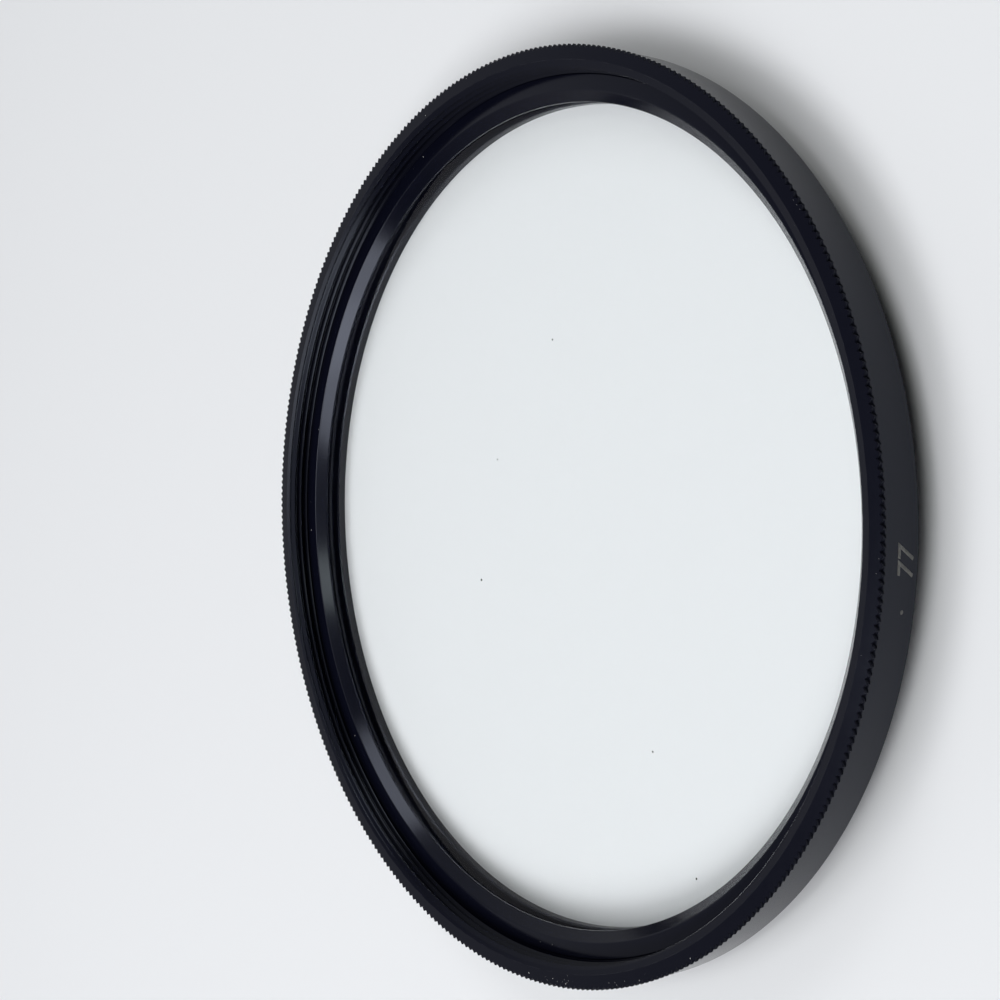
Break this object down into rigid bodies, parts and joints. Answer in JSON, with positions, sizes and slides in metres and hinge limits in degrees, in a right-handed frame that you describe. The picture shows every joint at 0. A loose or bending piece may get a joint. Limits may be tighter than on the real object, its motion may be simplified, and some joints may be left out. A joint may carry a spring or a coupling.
{
  "type": "screw-in lens filter",
  "caption": "Clear round screw-in lens filter: a flat glass disc held by a retaining ring in a knurled aluminium ring with a front female thread and a rear male thread.",
  "frame": {"origin": "centre of the rear face, on the optical axis, where the filter rests on a table", "axes": "+Z along the optical axis from the rear male thread towards the front female thread; X and Y are free, as the filter is round"},
  "size_m": [0.0802, 0.0802, 0.0063],
  "materials": {
    "anodised_ring": "satin black anodised",
    "clear_glass": "polished, coated",
    "anodised_retainer": "smooth black anodised"
  },
  "bodies": {
    "root": {"filter_ring": "anodised_ring", "glass_disc": "clear_glass", "retaining_ring": "anodised_retainer"}
  },
  "joints": []
}
